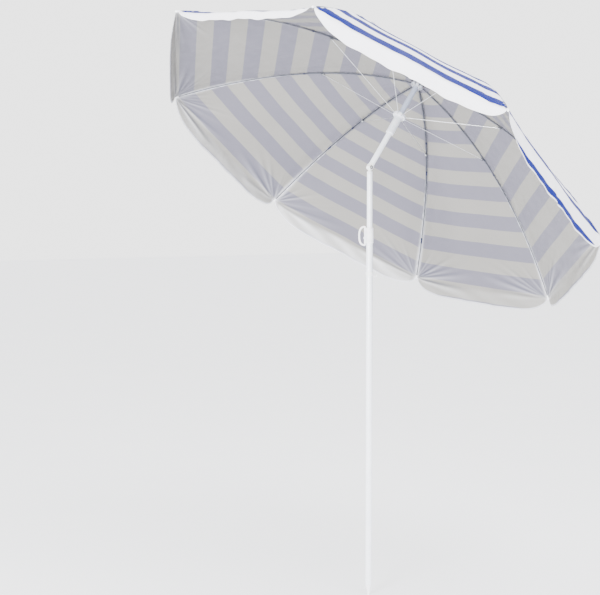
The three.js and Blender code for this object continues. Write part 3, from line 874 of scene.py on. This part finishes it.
for k, angle in enumerate(ribAngles):
    middle, half = k * cloth["columns"], cloth["columns"] // 2
    columns = np.arange(middle - half, middle + half + 1) % total
    part = {key: value[:, columns] for key, value in grid.items()}
    main = layered(part, cloth["thickness"])
    lent = layered(underlap(middle + half), lap["thickness"], len(main[0]))
    points, quads, slots, normals = [np.concatenate(pair) for pair in zip(main[:4], lent[:4])]
    facts = dict(zip(clothFacts, np.hstack([main[4], lent[4]])))
    panel = makePiece(f"canopy_cloth_{k + 1}", [(points, quads, noFaces)], [clothOutside, clothInside],
                      headToWorld, slots, facts, normals @ tiltTurn.T)
    keep(panel, f"rib_arm_{k + 1}", "cloth", f"canopy_panel_{k + 1}")
    anchor = headToWorld(aboutZ(angle) @ ribPoint(0.5))
    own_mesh(panel)
print("stage: canopy made")

# seam allowances hang beside each rib on the inside, and small ties hold the cloth to the wire
tape = dict(away=0.0024, top=0.0017, reach=0.0036, thickness=0.0004, out=0.55, down=0.62)
tieSpots = {1: [(0.36, 0.0025), (0.52, 0.008), (0.84, 0.011)], 2: [(0.49, 0.005), (0.65, 0.008)]}
for k, angle in enumerate(ribAngles):
    t = np.linspace(0.05, 0.965, 220)
    base, up = ribPoint(t), ribNormal(t)
    drop = np.linspace(0, 1, 5)
    for hand in (-1, 1):
        ruffle = 0.0009 * np.sin(t * 165 + k * 2 + hand) + 0.0006 * np.sin(t * 71 + k)
        reach = tape["reach"] + 0.0006 * np.sin(t * 90 + k)
        sideways = tape["away"] + reach[:, None] * (tape["out"] * drop[None]) + ruffle[:, None] * drop[None]
        lower = tape["top"] - reach[:, None] * (tape["down"] * drop[None] ** 1.5)
        strip = base[:, None] + up[:, None] * lower[..., None] + hand * sideways[..., None] * [0, 1.0, 0]
        normal = np.cross(np.gradient(strip, axis=0), np.gradient(strip, axis=1))
        normal /= np.linalg.norm(normal, axis=-1, keepdims=True)
        points, quads, counts = thinSheet(strip, normal, tape["thickness"])
        outward = np.tile(np.repeat(t, len(drop)), 2)
        keep(makePiece(f"seam_edge_{k + 1}_{'left' if hand < 0 else 'right'}",
                       [shifted((points, quads, noFaces), aboutZ(angle))], [seamTape], headToWorld,
                       facts={"outward": outward}, smooth=0.9), f"rib_arm_{k + 1}", "cloth")
    shells = []
    for spot, half in tieSpots.get(k + 1, [(0.5, 0.004)]):
        at, up = ribPoint(spot), ribNormal(spot)
        band = shifted(tubeWall(0.0018, 0.0030, -half, half, 0.0005, 28), zToX)
        shells.append(shifted(shifted(band, upTo(up), at + up * 0.0002), aboutZ(angle)))
    keep(makePiece(f"rib_ties_{k + 1}", shells, [blueTie], headToWorld), f"rib_arm_{k + 1}", "cloth")
print("stage: seams made")

# ---- floor, light and camera ----
stage = dict(world=3.1, floor=60, below=0.0005)
floorPaint = Finish("floor", rough=0.8, specular=0.15)
patches = floorPaint.noise(floorPaint.place(), 2.0)
floorPaint.set("color", floorPaint.blendColors(srgb(247, 248, 250), srgb(243, 244, 248), patches))
bpy.ops.mesh.primitive_plane_add(size=stage["floor"], location=(0, 0, -stage["below"]))
floor = bpy.context.active_object
floor.name = "floor"
floor.data.materials.append(floorPaint.material)

world = bpy.data.worlds.new("studio")
bpy.context.scene.world = world
world.use_nodes = True
world.node_tree.nodes["Background"].inputs[0].default_value = (1.0, 1.0, 1.0, 1)
world.node_tree.nodes["Background"].inputs[1].default_value = stage["world"]

lamps = dict(
    key=dict(place=(-5.0, -2.6, 1.9), aim=(0, 0, 1.4), size=2.2, power=720.0, color=(1.0, 0.99, 0.97)),
    top=dict(place=(-0.5, -3.5, 5.0), aim=(0, 0, 1.5), size=3.0, power=240.0, color=(0.97, 0.98, 1.0)),
)
for name, lamp in lamps.items():
    data = bpy.data.lights.new(name, "AREA")
    data.shape, data.size, data.energy, data.color = "DISK", lamp["size"], lamp["power"], lamp["color"]
    light = bpy.data.objects.new(name, data)
    light.location = lamp["place"]
    light.rotation_mode = "QUATERNION"
    light.rotation_quaternion = (Vector(lamp["aim"]) - Vector(lamp["place"])).to_track_quat("-Z", "Y")
    bpy.context.scene.collection.objects.link(light)

# the camera looks along +Y, yawed and pitched a little, and is then turned about Z; focal is in picture widths
sight = dict(place=(-2.969, -3.576, 1.307), yaw=-0.0502, pitch=-0.0628, turn=math.radians(-39.7),
             focal=1383.74 / 600)
level = math.cos(sight["pitch"])
forward = aboutZ(sight["turn"]) @ [math.sin(sight["yaw"]) * level, math.cos(sight["yaw"]) * level,
                                   math.sin(sight["pitch"])]
data = bpy.data.cameras.new("view")
data.sensor_width = 36.0
data.lens = sight["focal"] * data.sensor_width
camera = bpy.data.objects.new("view", data)
camera.location = Vector(sight["place"])
camera.rotation_mode = "QUATERNION"
camera.rotation_quaternion = Vector(forward).to_track_quat("-Z", "Y")
data.clip_start, data.clip_end = 0.05, 200
bpy.context.scene.collection.objects.link(camera)
bpy.context.scene.camera = camera

print("stage: scene ready")
